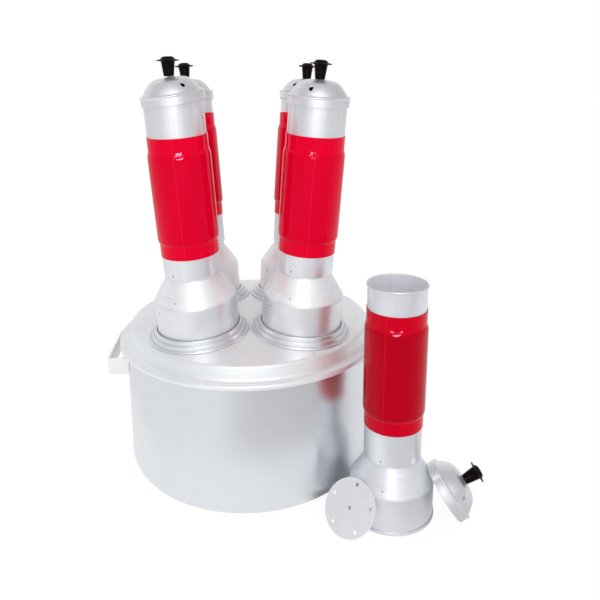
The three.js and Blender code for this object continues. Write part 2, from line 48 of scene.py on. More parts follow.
POT_RADIUS = 164
POT_HEIGHT = 175.5
POT_WALL = 1.5
POT_CORNER = 25
POT_BEAD = 3.5
POT_BEAD_HEIGHT = 5

STRAP_THICKNESS = 2.5
STRAP_WIDTH = 22
STRAP_TOP = 161
STRAP_EDGE = 0.35
HANDLE_LENGTH = 96
HANDLE_REACH = 20
HANDLE_BEND = 5
FLANGE_LENGTH = 16
RIVET_RADIUS = 2
RIVET_HEAD_RADIUS = 4
RIVET_HEAD_HEIGHT = 2
RIVET_TAIL = 1  # height of the flat head inside the pot, and its distance from the wall
RIVET_TAPER = 0.8  # share of the head's radius that its crown and its tail have
RIVET_SPACING = 11

LID_SHEET = 1.2
LID_LIP_RADIUS = 173
LID_DOME_TOP = 209
LID_DOME_RADIUS = 970
LID_PLUG = 159.2  # radius of the part that fits inside the pot
LID_WALL = 162.2
LID_DRAFT = 4  # by which the wall leans in towards its top
LID_WALL_FOOT = 4  # height of the wall's foot above the lip
LID_CHANNEL = 165.2  # radius of the soft channel between wall and lip
LID_CHANNEL_RISE = 1.5
LID_SHOULDER = 3
LID_GROOVE_WIDTH = 1.5
LID_GROOVE_DEPTH = 2.5
LID_LIP_WIDTH = 7.5
LID_LIP_RISE = 2.3
LID_CURL = 2
LID_CURL_SHEET = 0.6
LID_HOLE_BAR = 40  # length of the bar that cuts a hole for a collar

COLLAR_RADIUS = 63.2
COLLAR_SHEET = 1.2
COLLAR_SEAT = 2
COLLAR_SPIGOT = 7
COLLAR_CRIMP = 2.4
COLLAR_RINGS = 3
COLLAR_LIP = 2
COLLAR_RIM = 7.3
COLLAR_RIM_FALL = 0.6
COLLAR_DRAFT = 0.9  # by which each ring's side leans in
COLLAR_CROWN = 0.2  # rise of each ring's top
COLLAR_GROOVE_WIDTH = 1  # of the groove between two rings
COLLAR_GROOVE_DEPTH = 1.1
SPIGOT_OUTER = 48.6
SPIGOT_INNER = 47.4

BELL_RADIUS = 50.2
BELL_SHEET = 1
BELL_CYLINDER = 44.4
BELL_CONE = 30
BELL_BEAD = 0.8
SPARE_BELL_BEAD = 1.4
BELL_BEAD_HEIGHT = 4.6
BELL_BEAD_EASE = 0.4
BELL_CREASE = 6.5  # from the top of the cone down to its pressed line
CREASE_HALF_HEIGHT = 0.3
CREASE_PROUD = 0.35
CREASE_DEPTH = 0.25
BELL_NECK = 9
NECK_RADIUS = 31.1

TUBE_RADIUS = 34
TUBE_SHEET = 0.8
TUBE_BOTTOM = BELL_CYLINDER + BELL_CONE + GAP
TUBE_LENGTH = 213
TUBE_TOP = TUBE_BOTTOM + TUBE_LENGTH
TUBE_CURL = 2.6
TUBE_BEAD = 1.2
TUBE_BEAD_HEIGHT = 3.2

SLEEVE_LENGTH = 142.8
SLEEVE_SHEET = 0.6
SLEEVE_ABOVE_BELL = 26.6
SLEEVE_SHIFT = 14.5  # by which the rear and spare sleeves sit higher than the front ones
SLEEVE_SEAM = -94.7  # turns of the film's welded seam, in degrees
SPARE_SEAM = -122
SEAM_HEIGHT = 0.16
SEAM_WIDTH = 0.9
SEAM_SHEEN_FADE = (0.022, 0.008)  # radians from the seam's middle where its painted sheen starts and is full
WRINKLED = 58  # length of film below its head that has wrinkles
FILM_STEP = 0.6  # longest step along a section there
FILM_MARGIN = 1  # by which the short steps go on past both ends
SLEEVE_TAPER = 3.4  # height of the upper shoulder
SLEEVE_STEP = 1.5  # from the pad's foot to the lower shoulder
SLEEVE_STEP_EASE = 0.5  # from the lower shoulder's head to that of the pad's taper
SHOULDER_RISE = 1  # least height above the tube of film that counts as shoulder
PRESSED = 0.45  # depth of the flat spot on the upper shoulder
PRESSED_REACH = 5  # half the height that it may take up
PRESSED_FACING = 0.8  # least cosine, round the tube, between the spot's way and the film's
PRESSED_FOLD = (6, 0.55, 0.14, 0.1)  # half width, half height, depth and slant of the fold across it
# Wrinkles in the film: turn in degrees, distance below its head, half width, half height, depth, slant
WRINKLES = {
    "front_left": ((-64, 19, 4, 0.8, 0.2, 0.1), (-60, 24, 3, 0.9, 0.2, -0.2)),
    "front_right": ((-118, 18, 3, 0.8, 0.2, 0.2), (-70, 25, 3, 0.9, 0.2, 0.2)),
    "spare": (
        (-166, 25, 4, 1.5, 0.35, 0.2),
        (-160, 30, 3, 1.6, 0.30, -0.3),
        (-168, 35, 4, 1.5, 0.35, 0.2),
        (-158, 40, 3, 1.5, 0.30, 0.3),
        (-165, 45, 4, 1.6, 0.35, -0.2),
        (-161, 51, 3, 1.5, 0.25, 0.2),
    ),
}
PAD_THICKNESS = 1.4
PAD_INSET = 15  # from the sleeve's foot up to the pad
PAD_INSET_TOP = 18  # from the sleeve's head down to the pad
PAD_TAPER = 5

DISC_RADIUS = 32.9
DISC_THICKNESS = 1.5
DISC_EDGE = 0.3
DISC_HOLE_RADIUS = 2.2
DISC_HOLE_CIRCLE = 26.5
DISC_HOLES = 5
DISC_HOLE_SIDES = 24
DISC_TURN = -5  # of the first hole, in degrees
SPARE_DISC_TURN = 114  # and by how much the spare disc is turned on from there

CAP_SHEET = 0.8
CAP_SKIRT = 10.8
CAP_DOME = 17.6
CAP_RIDGE = 0.5  # how far the raised line stands out
CAP_RIDGE_FOOT = 1.4  # heights from the skirt's top down to the line's foot and its lower edge
CAP_RIDGE_LOW = 0.8
CAP_RIDGE_HIGH = 0.2  # and up to its upper edge
CAP_FLARE = 0.2
CAP_EASE = 0.4
SKIRT_INNER = 35.5
SKIRT_OUTER = 36.3
CAP_DOME_RADIUS = 33.7
CAP_TOP = CAP_SKIRT + CAP_SHEET + CAP_DOME
# The dome's outline, as shares of its radius and of its height
CAP_OUTLINE = (
    (0.985, 0.04),
    (0.92, 0.25),
    (0.82, 0.5),
    (0.70, 0.74),
    (0.61, 0.85),
    (0.46, 0.945),
    (0.22, 0.99),
)
CAP_DOME_BEND = 6
CAP_TILTS = {"front_left": 4.6}  # tilts and turns are in degrees
VENT_RADIUS = 2.4
VENT_CIRCLE = 27.5
VENT_TURNS = {"front_left": -55, "front_right": -115, "rear_left": -70, "rear_right": -130, "spare": 268}

KNOB_STEM_RADIUS = 5.8
KNOB_STEM_FLARE = 1.9
KNOB_STEM_HEIGHT = 16.2
KNOB_FLUTES = 10
KNOB_FLUTE_DEPTH = 0.35
KNOB_FLUTE_START = 0.6  # from the stem's foot
KNOB_FLUTE_SHORT = 2.2  # by which a flute is shorter than the stem
KNOB_FLANGE_RADIUS = 12.6
KNOB_FLANGE_THICKNESS = 1.8
KNOB_FLANGE_RISE = 0.5  # of its edge's lower side
KNOB_FLANGE_FALL = 0.2  # of its edge's upper side
KNOB_DOME_RADIUS = 8.4
KNOB_DOME_HEIGHT = 3.6
KNOB_DOME_FOOT = 0.3
KNOB_DOME_CROWN = 0.72  # share of the dome's radius that its top has
KNOB_TILTS = {"front_left": 7}
SCREW_RADIUS = 2
SCREW_LENGTH = 11
SCREW_HEAD_RADIUS = 4.4
SCREW_HEAD_HEIGHT = 2.4
SCREW_RECESS = 0.7  # share of the head's height that is left under its recess
SCREW_RECESS_RADIUS = 0.35  # shares of the head's radius
SCREW_CROWN_RADIUS = 0.75

# Facets round each kind of piece, and along each rounded corner
POT_SIDES = 192
TUBE_SIDES = 96
SLEEVE_SIDES = 240
SMALL_SIDES = 40
BEND_STEPS = 5  # and one more for every 2 mm of bend
BEND_SHARE = 0.49  # most of a side that one bend takes up
HOLD = 0.5  # from a rounded corner to the ring that keeps the wall beside it straight
CURVE_PULL = 0.5523  # share of the way to a corner that makes a bend a quarter circle
DOME_STEPS = 14
ARC_STEPS = 8
EDGE_STEPS = 2
SHARP = math.radians(38)
FLAT = 0.999  # least upward part of the normal of a flat face
JOINED = 1e-7  # distance in metres at which two vertices become one
RING_DEPTH = 0.01  # in millimetres, of the vertices that count as one ring

# The picture
PICTURE = 600
FOCAL_PIXELS = 631
HORIZON_SHIFT = 85  # pixels by which the picture lies below the lens's axis
CAMERA_PLACE = (0.0028, -0.8185, 0.5122)
CAMERA_YAW = 4.57
CAMERA_PITCH = 12.17
KEY_PLACE = (0.0, -1.5, 1.70)
KEY_AIM = (0, 0, 0.25)
KEY_SIZE = 1.0
KEY_POWER = 4.0
GLINT_PLACE = (-0.02, -0.95, 0.62)  # of the small lamp that the sleeves' flat spots mirror
GLINT_AIM = (0, 0, 0.3)
GLINT_WIDTH = 0.08
GLINT_HEIGHT = 0.025
GLINT_POWER = 0.8
FLOOR_RADIUS = 6.0
FLOOR_SIDES = 96
FLOOR_DROP = 0.0004
FRONT_WAY = (-0.05, -0.999)  # level direction of the bright wall behind the camera
BACK_WAY = (-0.3, 0.954)  # level direction of the bright wall at the back
SHADE_WAY = (0.469, -0.883)  # level direction of the painted shade in the floor's glow
GAP_WAY = (0.743, -0.669)  # level direction of the gap between the pot and the spare bell, where a shadow is painted into the floor's glow

# Brightness of studio and floor, where 1 shows white
WALL_LEVEL = 0.55
FRONT_GAIN = 0.60
ABOVE_GAIN = 0.60
BACK_GAIN = 0.29
HIGH_LOSS = 0.2
SOFT_LEVEL = 0.95
FLOOR_WHITE = 1.03
FLOOR_SHOWN = 0.90  # share of plain white in the floor that the camera sees
FLOOR_MIRRORED = 0.75  # share of the floor's painted glow in what the metal mirrors
# Levels of the floor's glow in the metal, with its light and shade painted in
OPEN_FLOOR = 0.82
DIM_PAINTED_SHADE = 0.36
BESIDE_POT = 0.94
RIGHT_LOSS = 0.10
GAP_PAINTED_SHADOW = 0.80
GAP_MIRRORED = 0.15

# Marks on the worn metal
LINE_GREY = (0.58, 0.60, 0.63, 1)
SCRATCH_GREY = (0.42, 0.43, 0.45, 1)
PIT_BLACK = (0.10, 0.10, 0.11, 1)
SCRATCHES = 0.10  # share of places with a scratch
SHARE_FADE = 0.02
DRAWN_LINES = 12.0  # per metre, along a drawn piece
BORE_SHINE = 0.25  # how metallic the metal still is where steam or spinning has dulled it
CONE_SHINE = 0.40
WHITE = (1, 1, 1, 1)

SEATED = ("front_left", "front_right", "rear_left", "rear_right")  # the tubes on the lid
UP = Vector((0, 0, 1))

record = frame["record"]
body_of = {node: body for body, nodes in record["behaviour"]["bodies"].items() for node in nodes}
joint_axis = {joint["child"]: Vector(joint["axis"]) for joint in frame["joints"]}


class Wire:
    """A shader socket that takes part in Python expressions."""

    def __init__(self, finish, socket):
        self.finish = finish
        self.socket = socket

    def out(self, name):
        return Wire(self.finish, self.socket.node.outputs[name])

    def math(self, operation, *values):
        inputs = dict(enumerate(values))
        return self.finish.node("ShaderNodeMath", inputs, operation=operation)

    def __add__(self, other):
        return self.math("ADD", self, other)

    __radd__ = __add__

    def __sub__(self, other):
        return self.math("SUBTRACT", self, other)

    def __rsub__(self, other):
        return self.math("SUBTRACT", other, self)

    def __mul__(self, other):
        return self.math("MULTIPLY", self, other)

    __rmul__ = __mul__

    def __truediv__(self, other):
        return self.math("DIVIDE", self, other)

    def __rtruediv__(self, other):
        return self.math("DIVIDE", other, self)

    def __pow__(self, other):
        return self.math("POWER", self, other)

    def step(self, low, high):
        """0 below low, 1 above high, smooth between; low may be the greater one."""
        inputs = {"Value": self, "From Min": low, "From Max": high}
        return self.finish.node("ShaderNodeMapRange", inputs, interpolation_type="SMOOTHSTEP")


class Finish:
    """A node tree that is filled one node at a time."""

    def __init__(self, owner):
        owner.use_nodes = True
        self.owner = owner
        self.tree = owner.node_tree
        self.tree.nodes.clear()

    def node(self, kind, inputs=None, output=0, **settings):
        made = self.tree.nodes.new(kind)
        for name, value in settings.items():
            setattr(made, name, value)
        for name, value in (inputs or {}).items():
            if isinstance(value, Wire):
                self.tree.links.new(value.socket, made.inputs[name])
            else:
                made.inputs[name].default_value = value
        return Wire(self, made.outputs[output]) if len(made.outputs) else None

    def place(self):
        return self.node("ShaderNodeTexCoord", output="Object")

    def split(self, vector):
        x = self.node("ShaderNodeSeparateXYZ", {0: vector})
        return x, x.out("Y"), x.out("Z")

    def noise(self, vector, scale, detail=2.0):
        return self.node("ShaderNodeTexNoise", {"Vector": vector, "Scale": scale, "Detail": detail})

    def scattered(self, vector, scale, size, core, share):
        """Spots in a share of the cells of a pattern, fading from a core out to a size."""
        cells = self.node("ShaderNodeTexVoronoi", {"Vector": vector, "Scale": scale})
        chance = self.node("ShaderNodeSeparateColor", {0: cells.out("Color")})
        return cells.step(size, core) * chance.step(share, share - SHARE_FADE)

    def rays(self):
        """1 for what the camera sees, and 1 for what is mirrored or seen through."""
        path = self.node("ShaderNodeLightPath")
        return path, path.math("MAXIMUM", path.out("Is Glossy Ray"), path.out("Is Transmission Ray"))

    def blend(self, share, first, second):
        return self.node("ShaderNodeMixShader", {0: share, 1: first, 2: second})

    def mix(self, share, first, second):
        inputs = {0: share, 6: first, 7: second}
        return self.node("ShaderNodeMix", inputs, output=2, data_type="RGBA")

    def bump(self, height, strength, distance):
        inputs = {"Height": height, "Strength": strength, "Distance": distance}
        return self.node("ShaderNodeBump", inputs)

    def surface(self, **sockets):
        inputs = {name.replace("_", " "): value for name, value in sockets.items()}
        shader = self.node("ShaderNodeBsdfPrincipled", inputs)
        self.node("ShaderNodeOutputMaterial", {"Surface": shader})
        return self.owner


def new_finish(name):
    return Finish(bpy.data.materials.new(name))


def from_axis(x, y, guard=0.0):
    """Distance from the Z axis; the guard keeps it from 0 where it divides."""
    return (x * x + y * y + guard) ** 0.5


def lined(finish, place, lines, drawn):
    """Distance from the axis, height, and where the marks of making lie: round, or along a drawn piece."""
    x, y, z = finish.split(place)
    radius = from_axis(x, y, guard=1e-8)
    if drawn:
        across = {0: x / radius * lines, 1: y / radius * lines, 2: z * DRAWN_LINES}
    else:
        across = {0: x / radius, 1: y / radius, 2: (radius + z) * lines}
    return radius, z, finish.node("ShaderNodeCombineXYZ", across)


def worn_metal(
    name,
    bright,
    dull,
    metallic,
    roughness,
    lines,
    pits,
    lay=0.04,
    drawn=False,
    bore=0,
    cone=0,
):
    """Worn metal: lines from its making, a haze of handling, short scratches and a few dark pits.

    lines is how close the lines lie, lay how dark they are, and pits the share of places with a pit.
    A drawn piece has its lines along it. Steam has dulled the inside of a bore of a radius, and spinning
    the metal above a cone's foot, both in millimetres.
    """
    finish = new_finish(name)
    place = finish.place()
    radius, height, along = lined(finish, place, lines, drawn)
    fine = finish.noise(along, 1.0, 3.0)
    haze = finish.noise(place, 16.0, 3.0)
    waves = finish.noise(place, 7.0, 0.0)
    pit = finish.scattered(place, 95.0, 0.16, 0.05, pits)
    scratch = finish.scattered(along, 3.0, 0.07, 0.02, SCRATCHES)
    smudge = finish.noise(place, 48.0, 4.0).step(0.52, 0.74) * 0.5 + fine.step(0.50, 0.72) * 0.5
    worn = finish.mix(haze.step(0.35, 0.75) * 0.5 + smudge * 0.5, bright, dull)
    worn = finish.mix(fine.step(0.42, 0.72) * lay, worn, LINE_GREY)
    scored = finish.mix(scratch * 0.35, worn, SCRATCH_GREY)
    shade = finish.mix(pit * 0.75, scored, PIT_BLACK)
    shine = metallic
    rough = roughness + (fine - 0.5) * 0.10 + (haze - 0.5) * 0.10
    if bore:
        steamed = radius.step((bore + 0.5) * MM, (bore + 0.2) * MM)
        shine = metallic - steamed * (metallic - BORE_SHINE)
        rough = rough + steamed * 0.2
    if cone:
        shine = metallic - height.step((cone - 1) * MM, (cone + 3) * MM) * (metallic - CONE_SHINE)
    relief = fine * 0.25 + waves * 3.0 - pit * 2.0 - scratch * 0.6
    return finish.surface(
        Base_Color=shade,
        Roughness=rough,
        Metallic=shine,
        Normal=finish.bump(relief, 0.35, 0.0004),
    )


def pot_metal():
    return worn_metal(
        "pot_spun_aluminium",
        bright=(0.82, 0.845, 0.88, 1),
        dull=(0.76, 0.785, 0.82, 1),
        metallic=0.94,
        roughness=0.30,
        lines=900.0,
        pits=0.015,
    )


def lid_metal():
    return worn_metal(
        "lid_spun_aluminium",
        bright=(0.90, 0.925, 0.95, 1),
        dull=(0.83, 0.855, 0.88, 1),
        metallic=0.54,
        roughness=0.42,
        lines=900.0,
        pits=0.025,
        lay=0.06,
    )


def collar_metal():
    return worn_metal(
        "collar_spun_aluminium",
        bright=(0.86, 0.88, 0.91, 1),
        dull=(0.78, 0.80, 0.83, 1),
        metallic=0.80,
        roughness=0.34,
        lines=1400.0,
        pits=0.03,
    )


def bell_metal(name, bright, dull, metallic):
    return worn_metal(
        name,
        bright,
        dull,
        metallic,
        roughness=0.37,
        lines=1400.0,
        pits=0.13,
        lay=0.12,
        cone=BELL_CYLINDER,
    )


def cap_metal():
    return worn_metal(
        "cap_spun_aluminium",
        bright=(0.88, 0.90, 0.93, 1),
        dull=(0.79, 0.81, 0.845, 1),
        metallic=0.84,
        roughness=0.35,
        lines=1400.0,
        pits=0.05,
        lay=0.16,
    )


def tube_metal(name, bright, dull):
    return worn_metal(
        name,
        bright,
        dull,
        metallic=0.80,
        roughness=0.36,
        lines=40.0,
        pits=0.19,
        lay=0.20,
        drawn=True,
        bore=TUBE_RADIUS - TUBE_SHEET,
    )


def disc_metal():
    return worn_metal(
        "disc_pressed_aluminium",
        bright=(0.90, 0.91, 0.945, 1),
        dull=(0.81, 0.82, 0.855, 1),
        metallic=0.55,
        roughness=0.46,
        lines=600.0,
        pits=0.02,
        lay=0.0,
    )


def strap_metal():
    return worn_metal(
        "strap_rolled_aluminium",
        bright=(0.96, 0.965, 0.975, 1),
        dull=(0.91, 0.92, 0.935, 1),
        metallic=0.55,
        roughness=0.40,
        lines=500.0,
        pits=0.02,
    )


def screw_metal():
    return worn_metal(
        "screw_zinc_steel",
        bright=(0.56, 0.57, 0.58, 1),
        dull=(0.48, 0.49, 0.50, 1),
        metallic=1.0,
        roughness=0.36,
        lines=2600.0,
        pits=0.02,
    )


def sleeve_film(name, tight, swollen, seam_turn):
    """Glossy red shrink film: faint mottling, pulled lines along the tube, deeper red over the pad, and a paler
    line of painted sheen along its seam.
    """
    finish = new_finish(name)
    place = finish.place()
    x, y, z = finish.split(place)
    radius = from_axis(x, y)
    pulled = finish.node("ShaderNodeCombineXYZ", {0: x, 1: y, 2: z * 0.15})
    mottle = finish.noise(place, 30.0, 2.0)
    ripple = finish.noise(pulled, 120.0, 1.0)
    dents = finish.noise(place, 55.0, 1.0)
    film = TUBE_RADIUS + SLEEVE_SHEET + GAP
    over_pad = radius.step((film + 0.3) * MM, (film + PAD_THICKNESS) * MM)
    aside = y.math("ARCTAN2", y, x) - math.radians(seam_turn)
    seam = aside.math("ABSOLUTE", aside).step(*SEAM_SHEEN_FADE)
    # Painted sheen: the seam's ridge is real, but its paler pink line stands in for the light that the ridge
    # catches
    seam_painted_sheen = (tight[0], 0.012, tight[2] * 1.4, 1)
    deep = finish.mix(over_pad * 0.8 + mottle * 0.2, tight, swollen)
    red = finish.mix(seam * 0.5, deep, seam_painted_sheen)
    return finish.surface(
        Base_Color=red,
        Roughness=0.05 + mottle * 0.04,
        Specular_IOR_Level=0.20,
        Specular_Tint=(1.0, 0.20, 0.30, 1),
        Normal=finish.bump(ripple * 0.4 + dents, 0.06, 0.0004),
    )


def knob_plastic():
    """Black moulded plastic, with a little dust in its gloss."""
    finish = new_finish("knob_black_plastic")
    place = finish.place()
    dust = finish.noise(place, 260.0, 3.0)
    black = finish.mix(dust.step(0.55, 0.8), (0.005, 0.0022, 0.0026, 1), (0.012, 0.008, 0.008, 1))
    return finish.surface(
        Base_Color=black,
        Roughness=0.22 + dust * 0.16,
        Specular_IOR_Level=0.06,
        Normal=finish.bump(dust, 0.12, 0.0002),
    )


def pad_cork():
    """Pressed cork: light crumbs between darker ones."""
    finish = new_finish("pad_pressed_cork")
    place = finish.place()
    crumbs = finish.node("ShaderNodeTexVoronoi", {"Vector": place, "Scale": 420.0})
    grain = finish.noise(place, 900.0, 2.0)
    tan = finish.mix(crumbs.step(0.1, 0.7), (0.47, 0.28, 0.13, 1), (0.24, 0.12, 0.05, 1))
    return finish.surface(
        Base_Color=tan,
        Roughness=0.82 + grain * 0.12,
        Normal=finish.bump(crumbs + grain * 0.5, 0.5, 0.0004),
    )


def rounded(*corners):
    """Points of a section whose corners (radius, height, bend) are rounded where a bend is given."""
    points = []
    count = len(corners)
    for i, (radius, height, *bend) in enumerate(corners):
        here = Vector((radius, height))
        if not bend:
            points.append(here)
            continue
        beside = [corners[i - 1], corners[(i + 1) % count]]
        ways = [Vector(near[:2]) - here for near in beside]
        reach = [min(bend[0], way.length * BEND_SHARE) for way in ways]
        room = [way.length - size - sum(near[2:]) for way, size, near in zip(ways, reach, beside)]
        start, end = [here + way.normalized() * size for way, size in zip(ways, reach)]
        before, after = [here + way.normalized() * (size + HOLD) for way, size in zip(ways, reach)]
        first = start.lerp(here, CURVE_PULL)
        second = end.lerp(here, CURVE_PULL)
        steps = BEND_STEPS + int(bend[0] / 2)
        if room[0] > 3 * HOLD:
            points.append(before)
        for k in range(steps + 1):
            t = k / steps
            s = 1 - t
            points.append(start * s**3 + first * 3 * s * s * t + second * 3 * s * t * t + end * t**3)
        if room[1] > 3 * HOLD:
            points.append(after)
    return points


def mark_edges(shape):
    """Smooth faces, with edges kept crisp where the surface turns sharply."""
    for face in shape.faces:
        face.smooth = True
    for edge in shape.edges:
        edge.smooth = edge.calc_face_angle(0) < SHARP


def as_mesh(shape, name):
    mesh = bpy.data.meshes.new(name)
    shape.to_mesh(mesh)
    shape.free()
    return mesh


def add_object(name, data):
    made = bpy.data.objects.new(name, data)
    bpy.context.scene.collection.objects.link(made)
    return made


def turned(name, section, sides, sunk=None):
    """A closed body turned round Z from section points in millimetres.

    sunk gives the depth, for a turn, height and radius, by which the surface lies below a true round.
    """
    shape = bmesh.new()
    rings = []
    for radius, height in section:
        ring = []
        for i in range(sides if radius > 0 else 1):
            turn = 2 * math.pi * i / sides
            reach = radius - (sunk(turn, height, radius) if sunk else 0)
            place = Vector((reach * math.cos(turn), reach * math.sin(turn), height)) * MM
            ring.append(shape.verts.new(place))
        rings.append(ring)
    if section[0][0] > 0:
        rings.append(rings[0])
    for lower, upper in zip(rings, rings[1:]):
        for i in range(sides):
            j = (i + 1) % sides
            ends = [(lower, i), (lower, j), (upper, j), (upper, i)]
            corners = list(dict.fromkeys(ring[k % len(ring)] for ring, k in ends))
            if len(corners) > 2:
                shape.faces.new(corners)
    bmesh.ops.recalc_face_normals(shape, faces=shape.faces)
    mark_edges(shape)
    return as_mesh(shape, name)


def cut_out(outline, name, height, edge, holes=()):
    """A flat piece of this height with rounded edges, cut to an outline, with round holes."""
    curve = bpy.data.curves.new(name, "CURVE")
    curve.dimensions = "2D"
    curve.fill_mode = "BOTH"
    curve.extrude = (height / 2 - edge) * MM
    curve.bevel_depth = edge * MM
    curve.bevel_resolution = EDGE_STEPS
    for loop in [outline, *holes]:
        spline = curve.splines.new("POLY")
        spline.use_cyclic_u = True
        spline.points.add(len(loop) - 1)
        for point, (x, y) in zip(spline.points, loop):
            point.co = (x * MM, y * MM, 0, 1)
    curve.offset = -edge * MM
    holder = bpy.data.objects.new(name, curve)
    mesh = bpy.data.meshes.new_from_object(holder)
    bpy.data.objects.remove(holder)
    bpy.data.curves.remove(curve)
    shape = bmesh.new()
    shape.from_mesh(mesh)
    bmesh.ops.remove_doubles(shape, verts=shape.verts, dist=JOINED)
    bmesh.ops.recalc_face_normals(shape, faces=shape.faces)
    mark_edges(shape)
    for rim in shape.edges:
        flat = [abs(face.normal.z) > FLAT for face in rim.link_faces]
        if any(flat) and not all(flat):
            rim.smooth = False
    shape.to_mesh(mesh)
    shape.free()
    return mesh


def pierced(mesh, bars):
    """The mesh with holes cut by round bars, each given as (place, radius, length) in metres."""
    body = add_object("body", mesh)
    cutters = []
    for place, radius, length in bars:
        shape = bmesh.new()
        bmesh.ops.create_cone(
            shape,
            cap_ends=True,
            segments=SMALL_SIDES,
            radius1=radius,
            radius2=radius,
            depth=length,
            matrix=place,
        )
        cutter = add_object("bar", as_mesh(shape, "bar"))
        cutters.append(cutter)
        cut = body.modifiers.new("cut", "BOOLEAN")
        cut.operation = "DIFFERENCE"
        cut.solver = "EXACT"
        cut.object = cutter
    bpy.context.view_layer.update()
    result = bpy.data.meshes.new_from_object(body.evaluated_get(bpy.context.evaluated_depsgraph_get()))
    result.name = mesh.name
    for spent in [body, *cutters]:
        bpy.data.objects.remove(spent)
    shape = bmesh.new()
    shape.from_mesh(result)
    mark_edges(shape)
    shape.to_mesh(result)
    shape.free()
    return result


def stand_for(node, mesh, finish, place=Matrix()):
    """Puts a fine piece where a CAD node is, on the node's body."""
    piece = add_object(f"{node}_fine", mesh)
    mesh.materials.clear()
    mesh.materials.append(finish)
    piece.matrix_world = place
    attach(piece, body_of[node])
    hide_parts(node)
    return piece


def lower_ring(node, axis):
    """Centre of the ring of a node's vertices that lies lowest along an axis."""
    points = [vertex.co for vertex in frame["nodes"][node].data.vertices]
    lowest = min(point.dot(axis) for point in points)
    ring = [point for point in points if point.dot(axis) < lowest + RING_DEPTH * MM]
    return sum(ring, Vector()) / len(ring)


def upright_on(origin, axis):
    return Matrix.Translation(origin) @ UP.rotation_difference(axis).to_matrix().to_4x4()


def leaning_on(origin, axis):
    """Place of a leaning piece: its own X points down its face."""
    down = (axis * axis.z - UP).normalized()
    return Matrix.Translation(origin) @ Matrix((down, axis.cross(down), axis)).transposed().to_4x4()


def circle(x, y, radius, count):
    turns = (2 * math.pi * i / count for i in range(count))
    return [(x + radius * math.cos(turn), y + radius * math.sin(turn)) for turn in turns]


def arc(radius, start, end):
    turns = (start + (end - start) * i / ARC_STEPS for i in range(ARC_STEPS + 1))
    return [(radius * math.cos(turn), radius * math.sin(turn)) for turn in turns]


def dome_height(radius):
    return LID_DOME_TOP - LID_DOME_RADIUS + math.sqrt(LID_DOME_RADIUS**2 - radius**2)


def make_pot(metal):
    inner = POT_RADIUS - POT_WALL
    lip = POT_RADIUS + POT_BEAD
    section = rounded(
        (0, 0),
        (POT_RADIUS, 0, POT_CORNER),
        (POT_RADIUS, POT_HEIGHT - POT_BEAD_HEIGHT, 0.6),
        (lip, POT_HEIGHT - POT_BEAD_HEIGHT, 2.2),
        (lip, POT_HEIGHT, 2.4),
        (inner, POT_HEIGHT, 1.2),
        (inner, POT_WALL, POT_CORNER - POT_WALL),
        (0, POT_WALL),
    )
    stand_for("pot_body", turned("pot", section, POT_SIDES), metal)


def make_handles(metal):
    wall = POT_RADIUS + GAP
    face = wall + STRAP_THICKNESS
    half = HANDLE_LENGTH / 2
    inside = half - STRAP_THICKNESS
    bar = POT_RADIUS + HANDLE_REACH
    tip = math.asin((inside - FLANGE_LENGTH) / wall)
    root = math.asin(half / wall)
    face_root = math.asin(inside / face)
    bend = HANDLE_BEND
    fold = bend - STRAP_THICKNESS
    corners = [(bar, -half, bend), (bar, half, bend)]
    folds = [(bar - STRAP_THICKNESS, inside, fold), (bar - STRAP_THICKNESS, -inside, fold)]
    near_foot = arc(wall, -tip, -root)
    far_foot = arc(wall, root, tip)
    outer = rounded(near_foot[-1], *corners, far_foot[0])[1:-1]
    back = arc(face, tip, face_root)
    front = arc(face, -face_root, -tip)
    inner = rounded(back[-1], *folds, front[0])[1:-1]
    outline = [*near_foot, *outer, *far_foot, *back, *inner, *front]
    middle = STRAP_TOP - STRAP_WIDTH / 2
    across = math.asin((inside - FLANGE_LENGTH / 2) / POT_RADIUS)
    head = turned("rivet_head", rivet_section(), SMALL_SIDES)
    lying = Matrix.Rotation(math.pi / 2, 4, "Y")
    for side, turn in (("right", 0), ("left", math.pi)):
        swing = Matrix.Rotation(turn, 4, "Z")
        strap = cut_out(outline, f"strap_{side}", STRAP_WIDTH, STRAP_EDGE)
        stand_for(f"handle_{side}", strap, metal, swing @ Matrix.Translation((0, 0, middle * MM)))
        heights = (middle - RIVET_SPACING / 2, middle + RIVET_SPACING / 2)
        spots = [(angle, height) for angle in (-across, across) for height in heights]
        for i, (angle, height) in enumerate(spots):
            out = Matrix.Translation((POT_RADIUS * MM, 0, height * MM))
            place = swing @ Matrix.Rotation(angle, 4, "Z") @ out @ lying
            stand_for(f"rivet_{side}_{i + 1}", head.copy(), metal, place)


def rivet_section():
    """Section of a rivet, from its flat head inside the pot to its round head on the strap."""
    inside = -POT_WALL - RIVET_TAIL
    seat = STRAP_THICKNESS + 2 * GAP
    crown = seat + RIVET_HEAD_HEIGHT
    narrow = RIVET_HEAD_RADIUS * RIVET_TAPER
    return rounded(
        (0, inside - RIVET_TAIL),
        (narrow, inside - RIVET_TAIL, 0.4),
        (narrow, inside, 0.2),
        (RIVET_RADIUS, inside),
        (RIVET_RADIUS, seat),
        (RIVET_HEAD_RADIUS, seat, 0.2),
        (narrow, crown, 1.4),
        (0, crown),
    )


